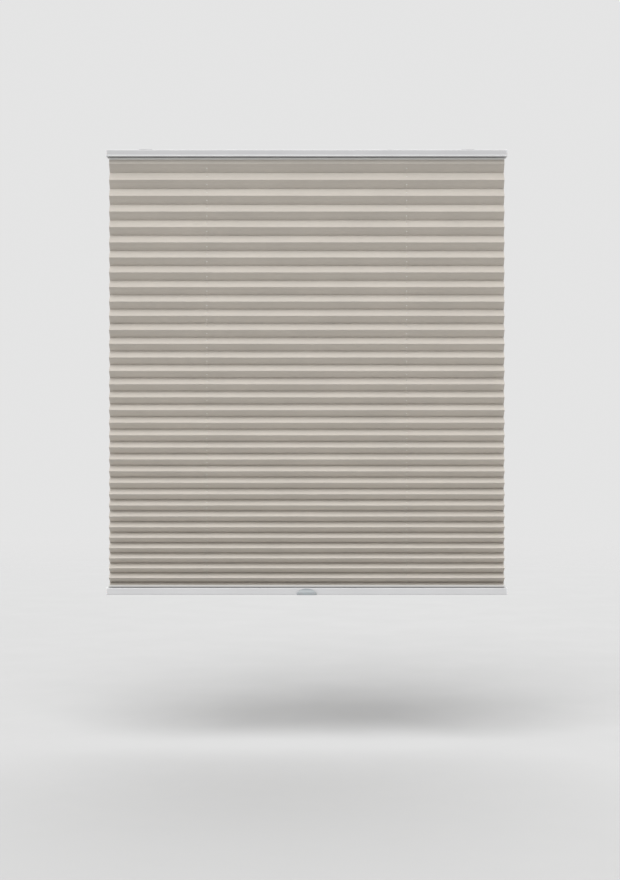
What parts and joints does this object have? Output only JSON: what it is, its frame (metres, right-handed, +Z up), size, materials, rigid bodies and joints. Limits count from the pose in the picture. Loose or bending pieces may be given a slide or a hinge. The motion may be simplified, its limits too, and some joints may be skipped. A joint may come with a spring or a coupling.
{
  "type": "pleated blind",
  "caption": "Pleated window blind on slim head and bottom rails; the bottom rail slides up and down on hidden spring-balanced cords.",
  "frame": {"origin": "middle of the plane that the two fixing clips are screwed up against, on the sheet's centre plane", "axes": "+X along the rails to the right as seen from the room, +Y towards the window, +Z up"},
  "size_m": [0.82, 0.0315, 0.911],
  "materials": {
    "rail": "satin",
    "end_cap": "satin",
    "fabric_strip": "matte",
    "pleated_fabric": "matte",
    "clip": "satin",
    "shaft": "satin",
    "spring": "satin",
    "lift_gear": "matte",
    "cord": "matte",
    "anchor": "matte",
    "grip": "satin"
  },
  "bodies": {
    "head": {"head_rail": "rail", "head_end_cap_left": "end_cap", "head_end_cap_right": "end_cap", "fixing_clip_left": "clip", "fixing_clip_right": "clip", "head_fabric_strip": "fabric_strip", "pleated_fabric": "pleated_fabric", "lift_cord_left": "cord", "lift_cord_right": "cord", "cord_eyelet_left": "lift_gear", "cord_eyelet_right": "lift_gear", "spool_cradle_left": "lift_gear", "spool_cradle_right": "lift_gear", "lift_spring": "spring", "spring_fixed_plug": "lift_gear"},
    "shaft": {"lift_shaft": "shaft", "cord_spool_left": "lift_gear", "cord_spool_right": "lift_gear", "spring_drive_plug": "lift_gear"},
    "bottom": {"bottom_rail": "rail", "bottom_end_cap_left": "end_cap", "bottom_end_cap_right": "end_cap", "bottom_fabric_strip": "fabric_strip", "cord_anchor_left": "anchor", "cord_anchor_right": "anchor", "thumb_grip": "grip"}
  },
  "joints": [
    {"name": "bottom_rail_slide", "type": "slide", "parent": "head", "child": "bottom", "axis": [0, 0, 1], "range_m": [-0.25, 0.83], "deforming": ["pleated_fabric", "lift_cord_left", "lift_cord_right"]},
    {"name": "shaft_spin", "type": "hinge", "parent": "head", "child": "shaft", "pos_m": [0, 0.00345, -0.0064], "axis": [1, 0, 0], "range_deg": [-14000, 4300]}
  ],
  "couplings": [
    {"joint": "shaft_spin", "follows": "bottom_rail_slide", "rad_per_m": -289.86}
  ]
}
